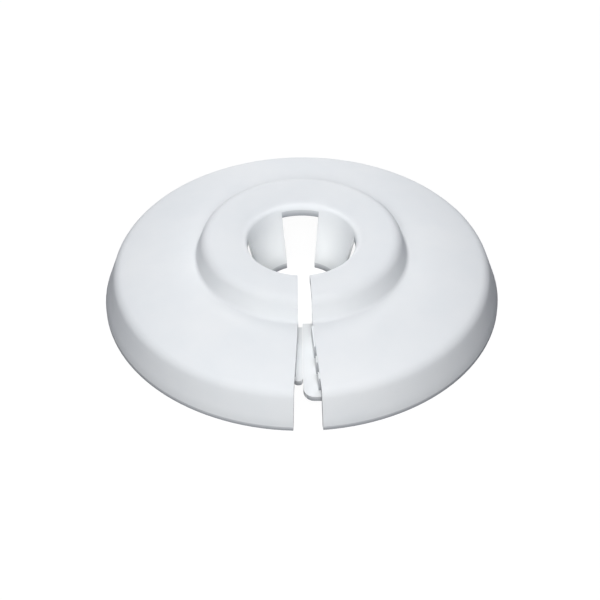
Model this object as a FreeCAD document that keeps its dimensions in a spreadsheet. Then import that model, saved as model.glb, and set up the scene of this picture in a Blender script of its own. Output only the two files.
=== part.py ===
import FreeCAD, Part
import Sketcher
import math
import os

# Radiator pipe collar: one white moulding, a domed shell round a hub, split at the front.
# The pipe's axis is Z, the foot of the rim stands on Z = 0 and the slit opens towards -Y.
# Millimetres: radii and distances are from the pipe's axis, heights from the foot.
SIZES = {
    # Domed shell, named at its sharp corners, before they are rounded
    "rim_radius": 28.87,
    "rim_lip_height": 0.62,
    "shoulder_inset": 1.66,
    "shoulder_height": 5.37,
    "dome_radius": 44.3,
    "wall": 1.0,
    # Hub round the hole
    "hub_foot_radius": 15.33,
    "hub_foot_height": 7.45,
    "hub_taper": 0.78,
    "hub_height": 10.72,
    "crown_radius": 16.0,
    "hole_radius": 8.0,
    "hole_height": 10.06,
    # Rounded edges
    "shoulder_round": 1.5,
    "hub_foot_round": 1.7,
    "hub_round": 1.2,
    "hole_round": 0.9,
    # Thin spring tongues, which lean in from under the lip and end in a short land that grips the pipe
    "grip_radius": 5.87,
    "grip_length": 0.95,
    "tongue_clearance": 0.2,
    "tongue_wall": 0.32,
    "lip_depth": 1.4,
    # Slots that part the tongues: angles in degrees, and the face that each leaves under the lip
    "slot_radius": 7.83,
    "slot_lip_height": 8.3,
    "back_slot_angle": 41.2,
    "side_slot_angle": 21.0,
    "front_slot_angle": 27.0,
    # Slit, a little to the right, almost parallel through the hub and a wedge from there to the rim
    "slit_shift": 0.09,
    "slit_hole_width": 1.6,
    "slit_hub_width": 1.94,
    "slit_rim_width": 4.06,
    # Catch: a plate under the right of the slit, and beside it a springy arm under the left.
    # Both slope with the dome, and the line between them is a little askew, in degrees.
    "catch_drop": 2.2,
    "catch_thickness": 0.75,
    "catch_skew": 1.0,
    "plate_start": 13.4,
    "plate_setback": 3.0,
    "plate_round": 1.5,
    "arm_gap": 0.05,
    "arm_start": 14.05,
    "arm_setback": 2.6,
    "arm_width": 1.25,
    # Rib and posts that carry the plate, a little proud of the slit's wall, with windows between them
    "plate_reach": 3.0,
    "rib_offset": 0.6,
    "rib_proud": 0.2,
    "rib_width": 0.9,
    "post_length": 1.1,
    "post_setback": 0.95,
    "window_length": 1.6,
    # Web that carries the arm
    "web_offset": 1.6,
    "web_setback": 0.8,
    "web_reach": 2.6,
}

POSTS = 2

# Planes of the sketches, and the ways that a radial sketch points, in degrees from +X
RADIAL_PLANE = "XZ_Plane"
SLIT_PLANE = "YZ_Plane"
FOOT_PLANE = "XY_Plane"
RIGHT = 0
BACK = 90
FRONT = -90

# Heights and distances that several sketches share, as expressions
LAND_TOP = "(sizes.grip_length + sizes.tongue_clearance)"
LIP_UNDERSIDE = "(sizes.hole_height - sizes.lip_depth)"
PLATE_END = "(sizes.rim_radius - sizes.plate_setback)"
ARM_END = "(sizes.rim_radius - sizes.plate_setback - sizes.arm_setback)"
CATCH_MIDDLE = "(sizes.catch_drop + sizes.catch_thickness / 2)"
SLIT_FLARE = "((sizes.slit_rim_width - sizes.slit_hub_width) / 2 / (sizes.rim_radius - sizes.hub_foot_radius))"


def make_sheet(doc):
    """Keep the driving dimensions in a spreadsheet, one aliased cell each."""
    sheet = doc.addObject("Spreadsheet::Sheet", "sizes")
    for row, (name, value) in enumerate(SIZES.items(), start=1):
        sheet.set(f"A{row}", name)
        sheet.set(f"B{row}", str(value))
        sheet.setAlias(f"B{row}", name)
    doc.recompute()
    return sheet


def new_sketch(body, name, role, offset=None, direction=0):
    """Attach a sketch to an origin plane, moved off it or turned about the pipe's axis."""
    plane = next(item for item in body.Origin.OriginFeatures if item.Role == role)
    sketch = body.newObject("Sketcher::SketchObject", name)
    sketch.AttachmentSupport = [(plane, "")]
    sketch.MapMode = "FlatFace"
    turn = FreeCAD.Rotation(FreeCAD.Vector(0, 1, 0), direction)
    sketch.AttachmentOffset = FreeCAD.Placement(FreeCAD.Vector(0, 0, 0), turn)
    if offset:
        sketch.setExpression("AttachmentOffset.Base.z", offset)
    return sketch


def bind(sketch, constraint, expression):
    """Add a dimension to a sketch and drive it from the sheet."""
    index = sketch.addConstraint(constraint)
    sketch.setExpression(f"Constraints[{index}]", expression)


def bind_start(sketch, edge, across, up):
    """Place the first end of an edge by two expressions of the sheet's sizes."""
    point = sketch.getPoint(edge, 1)
    bind(sketch, Sketcher.Constraint("DistanceX", -1, 1, edge, 1, point.x), across)
    bind(sketch, Sketcher.Constraint("DistanceY", -1, 1, edge, 1, point.y), up)


def close_outline(sketch, edges):
    """Join each edge's second end to the next edge's first end."""
    for edge, following in zip(edges, edges[1:] + edges[:1]):
        sketch.addConstraint(Sketcher.Constraint("Coincident", edge, 2, following, 1))


def polygon(sketch, corners):
    """Draw a closed outline of straight edges through corners given as expressions."""
    turn = 2 * math.pi / len(corners)
    guess = [FreeCAD.Vector(math.cos(turn * i), math.sin(turn * i)) for i in range(len(corners))]
    edges = []
    for start, end in zip(guess, guess[1:] + guess[:1]):
        edges.append(sketch.addGeometry(Part.LineSegment(start, end), False))
    close_outline(sketch, edges)
    for edge, (across, up) in zip(edges, corners):
        bind_start(sketch, edge, across, up)
    return edges


def arc_between(start, end, radius):
    """Arc of a given radius that bulges upwards from an outer point to an inner one."""
    chord = end - start
    half = chord.Length / 2
    inward = FreeCAD.Vector(-chord.y, chord.x).normalize()
    centre = (start + end) * 0.5 + inward * math.sqrt(radius ** 2 - half ** 2)
    first = math.atan2(start.y - centre.y, start.x - centre.x)
    last = math.atan2(end.y - centre.y, end.x - centre.x)
    return Part.ArcOfCircle(Part.Circle(centre, FreeCAD.Vector(0, 0, 1), radius), first, last)


def ring_edge(shape, radius, height):
    """Name of the circular edge round Z that lies nearest to a radius and a height."""
    def distance(edge):
        return math.hypot(edge.Curve.Radius - radius, edge.Curve.Center.z - height)
    rings = [i for i, edge in enumerate(shape.Edges, start=1) if edge.Curve.TypeId == "Part::GeomCircle"]
    return "Edge%d" % min(rings, key=lambda i: distance(shape.Edges[i - 1]))


def add_form(body):
    """Revolve the collar's outside, from the rim over the dome and the hub and down the tongues."""
    sketch = new_sketch(body, "form_outline", RADIAL_PLANE, direction=FRONT)
    rim_foot = FreeCAD.Vector(SIZES["rim_radius"], 0)
    rim_lip = FreeCAD.Vector(SIZES["rim_radius"], SIZES["rim_lip_height"])
    shoulder = FreeCAD.Vector(SIZES["rim_radius"] - SIZES["shoulder_inset"], SIZES["shoulder_height"])
    hub_foot = FreeCAD.Vector(SIZES["hub_foot_radius"], SIZES["hub_foot_height"])
    hub_edge = FreeCAD.Vector(SIZES["hub_foot_radius"] - SIZES["hub_taper"], SIZES["hub_height"])
    hole_edge = FreeCAD.Vector(SIZES["hole_radius"], SIZES["hole_height"])
    grip_top = FreeCAD.Vector(SIZES["grip_radius"], SIZES["grip_length"] + SIZES["tongue_clearance"])
    grip_foot = FreeCAD.Vector(SIZES["grip_radius"], 0)
    outline = [
        Part.LineSegment(rim_foot, rim_lip),
        Part.LineSegment(rim_lip, shoulder),
        arc_between(shoulder, hub_foot, SIZES["dome_radius"]),
        Part.LineSegment(hub_foot, hub_edge),
        arc_between(hub_edge, hole_edge, SIZES["crown_radius"]),
        Part.LineSegment(hole_edge, grip_top),
        Part.LineSegment(grip_top, grip_foot),
        Part.LineSegment(grip_foot, rim_foot),
    ]
    edges = [sketch.addGeometry(edge, False) for edge in outline]
    lip, flank, dome, hub_flank, crown, tongue, land, foot = edges
    close_outline(sketch, edges)
    sketch.addConstraint(Sketcher.Constraint("Vertical", lip))
    sketch.addConstraint(Sketcher.Constraint("Vertical", land))
    sketch.addConstraint(Sketcher.Constraint("PointOnObject", foot, 1, -1))
    sketch.addConstraint(Sketcher.Constraint("PointOnObject", foot, 2, -1))
    bind_start(sketch, flank, "sizes.rim_radius", "sizes.rim_lip_height")
    bind_start(sketch, dome, "sizes.rim_radius - sizes.shoulder_inset", "sizes.shoulder_height")
    bind_start(sketch, hub_flank, "sizes.hub_foot_radius", "sizes.hub_foot_height")
    bind_start(sketch, crown, "sizes.hub_foot_radius - sizes.hub_taper", "sizes.hub_height")
    bind_start(sketch, tongue, "sizes.hole_radius", "sizes.hole_height")
    bind_start(sketch, land, "sizes.grip_radius", LAND_TOP)
    bind(sketch, Sketcher.Constraint("Radius", dome, SIZES["dome_radius"]), "sizes.dome_radius")
    bind(sketch, Sketcher.Constraint("Radius", crown, SIZES["crown_radius"]), "sizes.crown_radius")
    form = body.newObject("PartDesign::Revolution", "form")
    form.Profile = sketch
    form.ReferenceAxis = (sketch, ["V_Axis"])
    form.Angle = 360
    return form, {"shoulder": shoulder, "hub_foot": hub_foot, "hub": hub_edge, "hole": hole_edge}


def add_hollow(body, form):
    """Shell the form to an even wall, open at the foot."""
    foot = min(range(len(form.Shape.Faces)), key=lambda i: form.Shape.Faces[i].CenterOfMass.z)
    hollow = body.newObject("PartDesign::Thickness", "hollow")
    hollow.Base = (form, ["Face%d" % (foot + 1)])
    hollow.Mode = "Skin"
    hollow.Join = "Intersection"
    hollow.Reversed = True
    hollow.setExpression("Value", "sizes.wall")
    return hollow


def add_rounds(body, base, corners):
    """Round the ring edges of the shell's outside: the shoulder, the hub and the hole's lip."""
    for name, corner in corners.items():
        rounded = body.newObject("PartDesign::Fillet", name + "_fillet")
        rounded.Base = (base, [ring_edge(base.Shape, corner.x, corner.y)])
        rounded.setExpression("Radius", f"sizes.{name}_round")
        body.Document.recompute()
        base = rounded


def cut(body, name, sketch, height=None):
    """Pocket a sketch upwards from its plane, right through unless a height is given."""
    pocket = body.newObject("PartDesign::Pocket", name)
    pocket.Profile = sketch
    pocket.Reversed = True
    pocket.Type = "ThroughAll"
    if height:
        pocket.Type = "Length"
        pocket.setExpression("Length", height)
    return pocket


def pad(body, name, sketch, length, backwards=False):
    """Pad a sketch along its plane's normal, or against it."""
    added = body.newObject("PartDesign::Pad", name)
    added.Profile = sketch
    added.Reversed = backwards
    added.setExpression("Length", length)
    return added


def groove(body, name, sketch, angle):
    """Groove a radial sketch round the pipe's axis, to both sides of its plane."""
    removed = body.newObject("PartDesign::Groove", name)
    removed.Profile = sketch
    removed.ReferenceAxis = (sketch, ["V_Axis"])
    removed.Midplane = True
    removed.setExpression("Angle", angle)
    return removed


def thin_tongues(body):
    """Thin the cone of the tongues from behind, up to the thicker lip of the hole."""
    sketch = new_sketch(body, "tongue_back_outline", RADIAL_PLANE, direction=FRONT)
    slope = f"(sizes.hole_radius - sizes.grip_radius) / (sizes.hole_height - {LAND_TOP})"
    foot = "sizes.grip_radius + sizes.tongue_wall"
    top = f"sizes.hole_radius - {slope} * sizes.lip_depth + sizes.tongue_wall"
    outer = "sizes.hole_radius + 1.5 * sizes.wall"
    polygon(sketch, [
        (foot, "-sizes.wall"),
        (outer, "-sizes.wall"),
        (outer, LIP_UNDERSIDE),
        (top, LIP_UNDERSIDE),
        (foot, LAND_TOP),
    ])
    return groove(body, "tongue_backs", sketch, "360")


def trim_tongues(body):
    """Lift the ends of the tongues clear of the foot."""
    sketch = new_sketch(body, "tongue_end_outline", FOOT_PLANE)
    circle = Part.Circle(FreeCAD.Vector(0, 0, 0), FreeCAD.Vector(0, 0, 1), SIZES["hole_radius"])
    ring = sketch.addGeometry(circle, False)
    sketch.addConstraint(Sketcher.Constraint("Coincident", ring, 3, -1, 1))
    bind(sketch, Sketcher.Constraint("Radius", ring, SIZES["hole_radius"]), "sizes.hole_radius")
    return cut(body, "tongue_ends", sketch, "sizes.tongue_clearance")


def add_slot(body, name, direction, angle):
    """Groove a slot through the tongues' cone, up to a short upright face under the hole's lip."""
    sketch = new_sketch(body, name + "_outline", RADIAL_PLANE, direction=direction)
    inner = "sizes.grip_radius / 2"
    outer = "sizes.slot_radius + 2 * sizes.wall"
    polygon(sketch, [
        (inner, "-sizes.wall"),
        (outer, "-sizes.wall"),
        (outer, "sizes.slot_lip_height"),
        ("sizes.slot_radius", "sizes.slot_lip_height"),
        ("sizes.slot_radius", "sizes.hole_height"),
        (inner, "sizes.hole_height"),
    ])
    return groove(body, name, sketch, angle)


def part_tongues(body):
    """Thin the cone under the lip and slot it into four tongues, with the front slot behind the slit."""
    thin_tongues(body)
    trim_tongues(body)
    add_slot(body, "back_slot", BACK, "sizes.back_slot_angle")
    add_slot(body, "front_slot", FRONT, "sizes.front_slot_angle")
    side_slot = add_slot(body, "side_slot", RIGHT, "sizes.side_slot_angle")
    body.Document.recompute()
    both_sides = body.newObject("PartDesign::PolarPattern", "side_slots")
    both_sides.Originals = [side_slot]
    both_sides.Axis = (side_slot.Profile[0], ["V_Axis"])
    both_sides.Angle = 360
    both_sides.Occurrences = 2
    body.Tip = both_sides


def dome_chord(distance):
    """Expression for a height inside the dome's wall, on the chord from the hub's foot to the shoulder."""
    run = "(sizes.rim_radius - sizes.shoulder_inset - sizes.hub_foot_radius)"
    fall = f"(sizes.shoulder_height - sizes.hub_foot_height) / {run}"
    return f"(sizes.hub_foot_height + {fall} * ({distance} - sizes.hub_foot_radius))"


def hang(sketch, near, far):
    """Outline of a carrier that hangs from the dome into the catch, between two distances."""
    polygon(sketch, [
        (f"-{near}", f"{dome_chord(near)} - {CATCH_MIDDLE}"),
        (f"-{near}", dome_chord(near)),
        (f"-{far}", dome_chord(far)),
        (f"-{far}", f"{dome_chord(far)} - {CATCH_MIDDLE}"),
    ])


def add_web(body):
    """Hang the arm's web from the dome on the left of the slit."""
    sketch = new_sketch(body, "web_outline", SLIT_PLANE)
    hang(sketch, "(sizes.hub_foot_radius + sizes.web_offset)", f"({ARM_END} - sizes.web_setback)")
    pad(body, "web", sketch, "sizes.web_reach", backwards=True)


def cut_slit(body):
    """Split the shell, the tongues and the web at the front."""
    sketch = new_sketch(body, "slit_outline", FOOT_PLANE)
    hole_end = "-(sizes.grip_radius - sizes.wall)"
    outside = f"(sizes.slit_rim_width + 2 * {SLIT_FLARE} * sizes.wall)"
    polygon(sketch, [
        ("sizes.slit_shift + sizes.slit_hole_width / 2", hole_end),
        ("sizes.slit_shift + sizes.slit_hub_width / 2", "-sizes.hub_foot_radius"),
        (f"sizes.slit_shift + {outside} / 2", "-(sizes.rim_radius + sizes.wall)"),
        (f"sizes.slit_shift - {outside} / 2", "-(sizes.rim_radius + sizes.wall)"),
        ("sizes.slit_shift - sizes.slit_hub_width / 2", "-sizes.hub_foot_radius"),
        ("sizes.slit_shift - sizes.slit_hole_width / 2", hole_end),
    ])
    return cut(body, "slit", sketch)


def add_rib(body):
    """Hang a rib and a row of posts from the dome along the slit's right wall."""
    flare = (SIZES["slit_rim_width"] - SIZES["slit_hub_width"]) / 2
    turn = math.degrees(math.atan2(flare, SIZES["rim_radius"] - SIZES["hub_foot_radius"]))
    across = f"(sizes.slit_shift + sizes.slit_hub_width / 2) * cos(atan({SLIT_FLARE}))"
    back = f"sizes.hub_foot_radius * sin(atan({SLIT_FLARE}))"
    sketch = new_sketch(body, "rib_outlines", SLIT_PLANE, f"{across} - {back} - sizes.rib_proud", turn)
    far = f"({PLATE_END} - sizes.post_setback)"
    for number in range(POSTS):
        hang(sketch, f"({far} - sizes.post_length)", far)
        far = f"({far} - sizes.post_length - sizes.window_length)"
    hang(sketch, "(sizes.hub_foot_radius + sizes.rib_offset)", far)
    pad(body, "rib", sketch, "sizes.rib_width")


def upright_edges(shape, distance):
    """Names of the upright edges at a distance in front of the axis, from left to right."""
    found = []
    for number, edge in enumerate(shape.Edges, start=1):
        box = edge.BoundBox
        is_upright = box.ZLength > max(box.XLength, box.YLength)
        if is_upright and math.isclose(edge.CenterOfMass.y, -distance, abs_tol=0.1):
            found.append((edge.CenterOfMass.x, "Edge%d" % number))
    return [name for across, name in sorted(found)]


def round_corners(body, name, base, corners, radius):
    """Round upright corners of a slab."""
    rounded = body.newObject("PartDesign::Fillet", name)
    rounded.Base = (base, corners)
    rounded.setExpression("Radius", radius)


def add_slab(body, name, span, offset, width, backwards):
    """Add a slab of the catch that slopes with the dome, on one side of the line between plate and arm."""
    near, far = span
    sketch = new_sketch(body, name + "_outline", SLIT_PLANE, offset, direction=-SIZES["catch_skew"])
    underside = "(sizes.catch_drop + sizes.catch_thickness)"
    polygon(sketch, [
        (f"-{near}", f"{dome_chord(near)} - sizes.catch_drop"),
        (f"-{far}", f"{dome_chord(far)} - sizes.catch_drop"),
        (f"-{far}", f"{dome_chord(far)} - {underside}"),
        (f"-{near}", f"{dome_chord(near)} - {underside}"),
    ])
    slab = pad(body, name, sketch, width, backwards)
    body.Document.recompute()
    return slab


def add_catch(body):
    """Plate on the rib with one rounded corner, and a springy arm on the web with a round nose."""
    plate_end = SIZES["rim_radius"] - SIZES["plate_setback"]
    plate = add_slab(body, "plate", ("sizes.plate_start", PLATE_END), None, "sizes.plate_reach", False)
    front_left = upright_edges(plate.Shape, plate_end)[:1]
    round_corners(body, "plate_corner", plate, front_left, "sizes.plate_round")
    arm = add_slab(body, "arm", ("sizes.arm_start", ARM_END), "-sizes.arm_gap", "sizes.arm_width", True)
    nose = upright_edges(arm.Shape, plate_end - SIZES["arm_setback"])
    round_corners(body, "arm_nose", arm, nose, "0.45 * sizes.arm_width")


def check(doc, body):
    """Stop if any object failed or the collar isn't one valid solid."""
    for item in doc.Objects:
        if "Invalid" in item.State or "Error" in item.State:
            raise RuntimeError(f"{item.Name} failed: {item.State}")
    shape = body.Shape
    if shape.isNull() or not shape.isValid() or len(shape.Solids) != 1:
        raise RuntimeError("the collar is not one valid solid")


def main():
    doc = FreeCAD.newDocument("radiator_pipe_collar")
    make_sheet(doc)
    body = doc.addObject("PartDesign::Body", "collar")
    body.Label = "collar"
    form, corners = add_form(body)
    doc.recompute()
    hollow = add_hollow(body, form)
    doc.recompute()
    add_rounds(body, hollow, corners)
    part_tongues(body)
    add_web(body)
    cut_slit(body)
    add_rib(body)
    add_catch(body)
    doc.recompute()
    check(doc, body)
    os.makedirs("parts", exist_ok=True)
    body.Shape.exportStep(f"parts/{body.Label}.step")
    print(f"{body.Label}: {body.Shape.Volume:.1f} mm3")


main()
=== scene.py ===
import math

import bmesh
import bpy
from mathutils import Matrix, Vector


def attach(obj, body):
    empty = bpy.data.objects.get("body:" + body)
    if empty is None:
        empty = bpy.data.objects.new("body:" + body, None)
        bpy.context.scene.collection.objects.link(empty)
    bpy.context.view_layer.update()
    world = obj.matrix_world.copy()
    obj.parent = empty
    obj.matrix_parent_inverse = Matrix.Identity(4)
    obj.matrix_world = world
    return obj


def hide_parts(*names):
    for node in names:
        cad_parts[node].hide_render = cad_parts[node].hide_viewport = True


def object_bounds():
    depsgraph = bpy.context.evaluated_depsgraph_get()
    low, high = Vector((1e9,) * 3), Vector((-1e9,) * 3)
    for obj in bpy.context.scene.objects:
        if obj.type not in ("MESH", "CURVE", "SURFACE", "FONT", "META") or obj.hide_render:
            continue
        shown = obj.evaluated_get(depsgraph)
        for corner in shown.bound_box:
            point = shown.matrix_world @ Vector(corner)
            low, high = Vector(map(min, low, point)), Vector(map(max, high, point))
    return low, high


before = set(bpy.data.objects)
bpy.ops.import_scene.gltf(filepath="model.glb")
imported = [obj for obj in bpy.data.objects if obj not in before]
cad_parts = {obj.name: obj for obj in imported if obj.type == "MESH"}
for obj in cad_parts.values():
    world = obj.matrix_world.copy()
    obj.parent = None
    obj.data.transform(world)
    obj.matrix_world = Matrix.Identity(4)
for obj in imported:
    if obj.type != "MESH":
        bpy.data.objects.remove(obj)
cad_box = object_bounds()
scene = bpy.context.scene

MM = 0.001

# Camera, in front of the slit and above it
CAMERA_ELEVATION = 40.22
CAMERA_AZIMUTH = -1.35
CAMERA_ROLL = -0.33
CAMERA_DISTANCE = 237.22 * MM
CAMERA_LENS = 96.0
CAMERA_SHIFT = (-0.003, -0.013)
NEAREST_SEEN = 10 * MM

# The soft boxes stand close, so that their light falls off to the sides
BOX_DISTANCE = 280 * MM
BOX_SIZE = 140 * MM
# Azimuth and elevation in degrees, and power in watts
SOFT_BOXES = {
    "front_box": (-2, 42, 0.61),
    "left_box": (-60, 50, 0.075),
    "back_box": (180, 54, 0.26),
    "low_back_box": (180, 13, 0.28),
}
SNOOT_HEIGHT = 800 * MM
SNOOT_RADIUS = 7.2 * MM
SNOOT_SOURCE = 2 * MM
SNOOT_BLEND = 0.1
SNOOT_POWER = 33.0
FLOOR_HALF_WIDTH = 3.0
FLOOR_GLOW = 0.965
SKY_FILL = 0.05

# Sizes of the plastic's patterns
CLOUD_SIZE = 9 * MM
GLOSS_SIZE = 4 * MM
GRAIN_SIZE = 0.3 * MM
GRAIN_DEPTH = 0.02 * MM
SCATTER_DEPTH = 0.6 * MM

# Faces that meet at more than this angle keep a sharp edge between them
SHARP_ANGLE = math.radians(28)
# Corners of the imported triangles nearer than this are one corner
MERGE_DISTANCE = 0.0005 * MM
# Ring faces, which get painted shade, stand upright and look at the pipe or away from it, within these limits
# of their normal
UPRIGHT = 0.05
RADIAL = 0.7
# Strength of the painted shade on ring faces at their upper edge, where 1 is its strength at the lower edge
PAINTED_SHADE_AT_TOP = 0.35
PAINTED_SHADE_NAME = "painted_shade"

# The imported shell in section, in mm: radius and height of its corners, and the radii of its arcs and rounds
HOLE_CORNER = Vector((8.0, 10.06))
CROWN_CORNER = Vector((14.55, 10.72))
FOOT_CORNER = Vector((15.33, 7.45))
SHOULDER_CORNER = Vector((27.21, 5.37))
RIM_CORNER = Vector((28.87, 0.62))
CROWN_ARC = 16.0
DOME_ARC = 44.3
CROWN_ROUND = 1.2
FOOT_ROUND = 1.7
SHOULDER_ROUND = 1.5
# The moulding is softer at the crown and the shoulder and crisper at the hub's foot, and its hub leans more
SOFT_CROWN_CORNER = Vector((14.3, 10.744))
SOFT_CROWN_ROUND = 1.7
CRISP_FOOT_ROUND = 0.6
SOFT_SHOULDER_ROUND = 2.0
# A corner of the mesh this near an arc is on it, in mm
ON_ARC = 0.004
# Room for the last tilt of a round, in radians
TILT_ROOM = 0.004
# Within this distance from the middle, in mm, corners move along the slit's walls
SLIT_REACH = 3.5


def linear(hex_colour):
    """Linear colour of an sRGB hex value."""
    channels = [int(hex_colour[i:i + 2], 16) / 255 for i in (1, 3, 5)]
    return [c / 12.92 if c <= 0.04045 else ((c + 0.055) / 1.055) ** 2.4 for c in channels] + [1.0]


def add_node(tree, kind, values=None, links=None, **settings):
    """Add a shader node with its settings, the values of its sockets and the links into them."""
    node = tree.nodes.new(kind)
    for name, value in settings.items():
        setattr(node, name, value)
    for socket, value in (values or {}).items():
        node.inputs[socket].default_value = value
    for socket, source in (links or {}).items():
        tree.links.new(source, node.inputs[socket])
    return node


def new_material(name):
    """Material with an empty node tree."""
    material = bpy.data.materials.new(name)
    material.use_nodes = True
    material.node_tree.nodes.clear()
    return material, material.node_tree


def moulded_polypropylene():
    """White polypropylene as it leaves the mould: satin, a little cloudy, translucent in thin walls, and with
    painted shade on upright ring faces.
    """
    material, tree = new_material("moulded_polypropylene")
    place = add_node(tree, "ShaderNodeTexCoord").outputs["Object"]
    # Pigment is a little uneven, as the melt flowed
    cloud = add_node(tree, "ShaderNodeTexNoise",
                     {"Scale": 1 / CLOUD_SIZE, "Detail": 3.0, "Roughness": 0.55}, {"Vector": place})
    tint = add_node(tree, "ShaderNodeValToRGB", links={"Fac": cloud.outputs["Fac"]})
    tint.color_ramp.elements[0].position = 0.3
    tint.color_ramp.elements[0].color = linear("#E8EBEC")
    tint.color_ramp.elements[1].position = 0.7
    tint.color_ramp.elements[1].color = linear("#EDEFEF")
    # Upright ring faces get painted shade, a grey that is strongest at their lower edge; in a colour mix,
    # sockets 0, 6 and 7 are the factor and the two colours, and output 2 is the mixed colour
    ring = add_node(tree, "ShaderNodeAttribute", attribute_name=PAINTED_SHADE_NAME)
    colour = add_node(tree, "ShaderNodeMix", {7: linear("#A3A6AB")},
                      {0: ring.outputs["Fac"], 6: tint.outputs["Color"]}, data_type="RGBA")
    # Gloss changes where the melt lay flatter against the mould
    gloss = add_node(tree, "ShaderNodeTexNoise", {"Scale": 1 / GLOSS_SIZE, "Detail": 2.0},
                     {"Vector": place})
    roughness = add_node(tree, "ShaderNodeMapRange", {"To Min": 0.56, "To Max": 0.66},
                         {"Value": gloss.outputs["Fac"]})
    # The mould's spark-eroded grain is about 0.05 mm; it is drawn coarser, or it would not show
    grain = add_node(tree, "ShaderNodeTexNoise", {"Scale": 1 / GRAIN_SIZE, "Detail": 2.0},
                     {"Vector": place})
    bump = add_node(tree, "ShaderNodeBump", {"Strength": 0.1, "Distance": GRAIN_DEPTH},
                    {"Height": grain.outputs["Fac"]})
    surface = add_node(
        tree, "ShaderNodeBsdfPrincipled",
        {"IOR": 1.49, "Specular IOR Level": 0.1, "Subsurface Weight": 0.1,
         "Subsurface Radius": (1.0, 1.0, 1.0), "Subsurface Scale": SCATTER_DEPTH},
        {"Base Color": colour.outputs[2], "Roughness": roughness.outputs["Result"],
         "Normal": bump.outputs["Normal"]})
    add_node(tree, "ShaderNodeOutputMaterial", links={"Surface": surface.outputs["BSDF"]})
    return material


def rays_that_see_white(tree):
    """Output that is 1 for the camera's rays, also by way of a reflection or a clear piece, and else 0."""
    path = add_node(tree, "ShaderNodeLightPath")
    seen = path.outputs["Is Camera Ray"]
    for ray in ("Is Glossy Ray", "Is Transmission Ray"):
        either = add_node(tree, "ShaderNodeMath", links={0: seen, 1: path.outputs[ray]},
                          operation="MAXIMUM")
        seen = either.outputs["Value"]
    return seen


def pale_floor():
    """Matt pale floor that the camera sees as white, apart from the collar's shadow."""
    material, tree = new_material("pale_floor")
    board = add_node(tree, "ShaderNodeBsdfDiffuse", {"Color": linear("#464748")})
    white = add_node(tree, "ShaderNodeEmission", {"Strength": FLOOR_GLOW})
    nothing = add_node(tree, "ShaderNodeEmission", {"Strength": 0.0})
    glow = add_node(tree, "ShaderNodeMixShader", links={0: rays_that_see_white(tree),
                                                        1: nothing.outputs["Emission"],
                                                        2: white.outputs["Emission"]})
    both = add_node(tree, "ShaderNodeAddShader",
                    links={0: board.outputs["BSDF"], 1: glow.outputs["Shader"]})
    add_node(tree, "ShaderNodeOutputMaterial", links={"Surface": both.outputs["Shader"]})
    return material


def arc_centre(start, end, radius):
    """Centre of an arc that bulges upwards on its way out from the pipe."""
    half = (end - start) / 2
    depth = math.sqrt(radius ** 2 - half.length_squared)
    return start + half - Vector((-half.y, half.x)).normalized() * depth


def tilt(way):
    """Angle of a way in section from straight up."""
    return math.atan2(way.x, way.y)


def round_centre(foot, top, offset, centre, radius):
    """Centre of a round beside the flank from foot to top and an arc, at an offset outwards from both."""
    up = (top - foot).normalized()
    start = foot + Vector((up.y, -up.x)) * offset
    away = start - centre
    along = away.dot(up)
    reach = math.sqrt(along ** 2 - away.length_squared + (radius + offset) ** 2)
    return start + up * (reach - along)


def move_to_rounds(shell, arcs, flattest, steepest, lean=1.0):
    """Move corners of the shell from each arc to its new round, in step with the tilt of the surface."""
    for vert in shell.verts:
        spot = Vector((vert.co.to_2d().length, vert.co.z)) / MM
        for centre, offset, new_centre, new_offset in arcs:
            normal = (centre - spot) / offset
            slope = tilt(normal)
            on_arc = abs(normal.length - 1) * abs(offset) < ON_ARC
            if on_arc and flattest < slope < steepest + TILT_ROOM:
                new_normal = Vector((math.sin(slope * lean), math.cos(slope * lean)))
                new = (new_centre - new_normal * new_offset) * MM
                if vert.co.y < 0 and abs(vert.co.x) < SLIT_REACH * MM:
                    vert.co.y = -math.sqrt(new.x ** 2 - vert.co.x ** 2)
                else:
                    vert.co.xy = vert.co.xy.normalized() * new.x
                vert.co.z = min(new.y, cad_box[1][2])
                break


def reshape(shell):
    """Give the hub and the shoulder the moulding's own rounds."""
    crown = arc_centre(HOLE_CORNER, CROWN_CORNER, CROWN_ARC)
    dome = arc_centre(FOOT_CORNER, SHOULDER_CORNER, DOME_ARC)
    packed_crown = round_centre(FOOT_CORNER, CROWN_CORNER, -CROWN_ROUND, crown, CROWN_ARC)
    packed_foot = round_centre(FOOT_CORNER, CROWN_CORNER, FOOT_ROUND, dome, DOME_ARC)
    packed_shoulder = round_centre(RIM_CORNER, SHOULDER_CORNER, -SHOULDER_ROUND, dome, DOME_ARC)
    soft_crown = round_centre(FOOT_CORNER, SOFT_CROWN_CORNER, -SOFT_CROWN_ROUND, crown, CROWN_ARC)
    crisp_foot = round_centre(FOOT_CORNER, SOFT_CROWN_CORNER, CRISP_FOOT_ROUND, dome, DOME_ARC)
    soft_shoulder = round_centre(RIM_CORNER, SHOULDER_CORNER, -SOFT_SHOULDER_ROUND, dome, DOME_ARC)
    steepest = math.pi / 2 + tilt(CROWN_CORNER - FOOT_CORNER)
    lean = (math.pi / 2 + tilt(SOFT_CROWN_CORNER - FOOT_CORNER)) / steepest
    hub_arcs = [
        (packed_crown, -CROWN_ROUND, soft_crown, -SOFT_CROWN_ROUND),
        (crown, -CROWN_ARC, soft_crown, -SOFT_CROWN_ROUND),
        (packed_foot, FOOT_ROUND, crisp_foot, CRISP_FOOT_ROUND),
    ]
    move_to_rounds(shell, hub_arcs, tilt(soft_crown - crown), steepest, lean)
    shoulder_arcs = [
        (packed_shoulder, -SHOULDER_ROUND, soft_shoulder, -SOFT_SHOULDER_ROUND),
        (dome, -DOME_ARC, soft_shoulder, -SOFT_SHOULDER_ROUND),
    ]
    steepest = math.pi / 2 + tilt(SHOULDER_CORNER - RIM_CORNER)
    move_to_rounds(shell, shoulder_arcs, tilt(soft_shoulder - dome), steepest)


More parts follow.
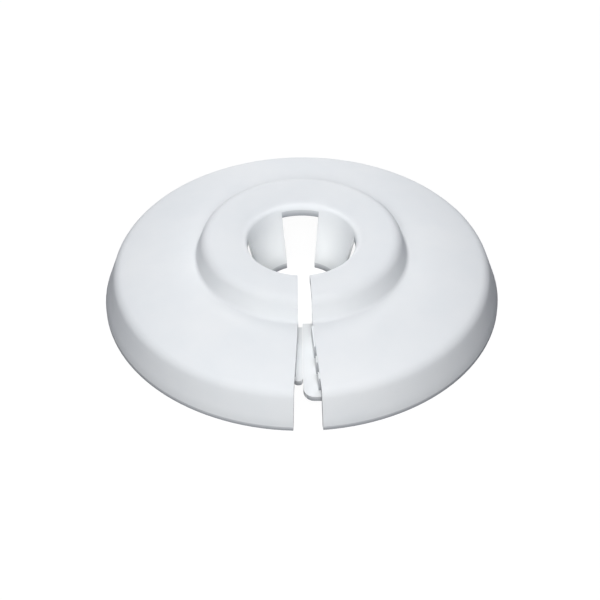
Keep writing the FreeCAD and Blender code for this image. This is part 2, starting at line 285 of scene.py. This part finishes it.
def make_collar(material):
    """Moulded collar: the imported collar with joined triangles, its own rounds and smooth shading."""
    shell = bmesh.new()
    shell.from_mesh(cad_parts["collar"].data)
    bmesh.ops.remove_doubles(shell, verts=shell.verts, dist=MERGE_DISTANCE)
    reshape(shell)
    shell.normal_update()
    for face in shell.faces:
        face.smooth = True
        face.material_index = 0
    for edge in shell.edges:
        edge.smooth = len(edge.link_faces) == 2 and edge.calc_face_angle() < SHARP_ANGLE
    # Painted shade on upright ring faces, darkest at their lower edge
    painted_shade = shell.loops.layers.float.new(PAINTED_SHADE_NAME)
    for face in shell.faces:
        outwards = face.calc_center_median().to_2d().normalized()
        if abs(face.normal.z) < UPRIGHT and abs(face.normal.to_2d().dot(outwards)) > RADIAL:
            foot = min(vert.co.z for vert in face.verts)
            top = max(vert.co.z for vert in face.verts)
            for loop in face.loops:
                loop[painted_shade] = 1 - (1 - PAINTED_SHADE_AT_TOP) * (loop.vert.co.z - foot) / (top - foot)
    mesh = bpy.data.meshes.new("moulded_collar")
    shell.to_mesh(mesh)
    shell.free()
    if "custom_normal" in mesh.attributes:
        mesh.attributes.remove(mesh.attributes["custom_normal"])
    mesh.materials.append(material)
    collar = bpy.data.objects.new("moulded_collar", mesh)
    scene.collection.objects.link(collar)
    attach(collar, "root")
    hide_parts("collar")


def make_floor(material):
    """Wide floor under the rim's foot."""
    board = bmesh.new()
    bmesh.ops.create_grid(board, x_segments=1, y_segments=1, size=FLOOR_HALF_WIDTH)
    mesh = bpy.data.meshes.new("floor")
    board.to_mesh(mesh)
    board.free()
    mesh.materials.append(material)
    floor = bpy.data.objects.new("floor", mesh)
    scene.collection.objects.link(floor)


def direction(azimuth, elevation):
    """Way from the collar to a lamp or camera: azimuth 0 is in front of the slit and 90 on its right."""
    turn, rise = math.radians(azimuth), math.radians(elevation)
    return Vector((math.sin(turn) * math.cos(rise), -math.cos(turn) * math.cos(rise), math.sin(rise)))


def make_soft_box(name, azimuth, elevation, power):
    """Round soft box that faces the collar."""
    place = direction(azimuth, elevation) * BOX_DISTANCE
    lamp = bpy.data.lights.new(name, "AREA")
    lamp.shape = "DISK"
    lamp.size = BOX_SIZE
    lamp.energy = power
    box = bpy.data.objects.new(name, lamp)
    box.matrix_world = Matrix.Translation(place) @ (-place).to_track_quat("-Z", "Y").to_matrix().to_4x4()
    scene.collection.objects.link(box)


def make_snoot():
    """Narrow lamp straight above the hole, which lights the tongues in it."""
    lamp = bpy.data.lights.new("snoot", "SPOT")
    lamp.spot_size = 2 * math.atan(SNOOT_RADIUS / SNOOT_HEIGHT)
    lamp.spot_blend = SNOOT_BLEND
    lamp.shadow_soft_size = SNOOT_SOURCE
    lamp.energy = SNOOT_POWER
    snoot = bpy.data.objects.new("snoot", lamp)
    snoot.location = (0, 0, SNOOT_HEIGHT)
    scene.collection.objects.link(snoot)


def make_sky():
    """Surroundings that the camera sees as white, and that give the collar a weak even light."""
    sky = bpy.data.worlds.new("studio")
    scene.world = sky
    sky.use_nodes = True
    tree = sky.node_tree
    tree.nodes.clear()
    fill = add_node(tree, "ShaderNodeBackground", {"Color": linear("#7099FF"), "Strength": SKY_FILL})
    white = add_node(tree, "ShaderNodeBackground", {"Color": linear("#FFFFFF"), "Strength": 1.0})
    both = add_node(tree, "ShaderNodeMixShader", links={0: rays_that_see_white(tree),
                                                        1: fill.outputs["Background"],
                                                        2: white.outputs["Background"]})
    add_node(tree, "ShaderNodeOutputWorld", links={"Surface": both.outputs["Shader"]})


def make_camera():
    """Camera at the photograph's viewing angle."""
    place = direction(CAMERA_AZIMUTH, CAMERA_ELEVATION) * CAMERA_DISTANCE
    look = (-place).to_track_quat("-Z", "Y").to_matrix().to_4x4()
    lens = bpy.data.cameras.new("camera")
    lens.lens = CAMERA_LENS
    lens.shift_x, lens.shift_y = CAMERA_SHIFT
    lens.clip_start = NEAREST_SEEN
    camera = bpy.data.objects.new("camera", lens)
    roll = Matrix.Rotation(math.radians(CAMERA_ROLL), 4, "Z")
    camera.matrix_world = Matrix.Translation(place) @ look @ roll
    scene.collection.objects.link(camera)
    scene.camera = camera


scene.view_settings.view_transform = "Standard"
make_camera()
make_sky()
for box_name, (box_azimuth, box_elevation, box_power) in SOFT_BOXES.items():
    make_soft_box(box_name, box_azimuth, box_elevation, box_power)
make_snoot()
make_floor(pale_floor())
make_collar(moulded_polypropylene())
